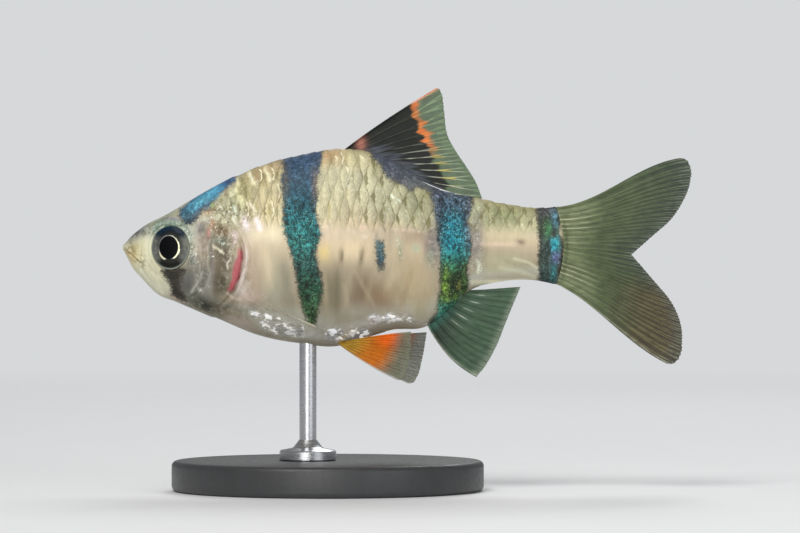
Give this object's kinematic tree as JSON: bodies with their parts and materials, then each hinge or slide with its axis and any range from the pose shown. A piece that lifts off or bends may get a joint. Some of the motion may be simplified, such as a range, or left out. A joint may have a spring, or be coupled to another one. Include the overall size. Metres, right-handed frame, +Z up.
{
  "type": "tiger barb",
  "caption": "Life-size still model of a small, deep-bodied, dark-banded freshwater fish with spread fins, on a plain display stand.",
  "frame": {"origin": "centre of the whole model's box in plan, at the underside of the stand's base", "axes": "+X from the snout to the tail, so the fish faces -X; +Y towards its right side; +Z up"},
  "size_m": [0.06, 0.033, 0.0425],
  "materials": {
    "scaled_skin": "wet, scaled fish skin, pale olive gold with dark blue-green bands",
    "head_skin": "wet, smooth fish skin, cream with a dark band through the eye",
    "gill_cover": "wet, silvery brown, translucent, with a red edge and a pale rim",
    "eye": "wet and clear over a dark iris with a thin gold ring",
    "dorsal_fin": "thin membrane, black at the base with an orange-red edge and clear tips",
    "pelvic_fin": "thin membrane, orange red with a pale front edge",
    "clear_fin": "thin, almost clear membrane with pale rays",
    "stand_base": "smooth dark grey paint",
    "stand_rod": "plain brushed steel"
  },
  "bodies": {
    "root": {"head": "head_skin", "lower_jaw": "head_skin", "trunk": "scaled_skin", "tail_stalk": "scaled_skin", "gill_cover_left": "gill_cover", "gill_cover_right": "gill_cover", "eye_left": "eye", "eye_right": "eye", "dorsal_fin": "dorsal_fin", "anal_fin": "clear_fin", "tail_fin_upper": "clear_fin", "tail_fin_lower": "clear_fin", "pelvic_fin_left": "pelvic_fin", "pelvic_fin_right": "pelvic_fin", "pectoral_fin_left": "clear_fin", "pectoral_fin_right": "clear_fin", "stand_base": "stand_base", "stand_rod": "stand_rod"}
  },
  "joints": []
}
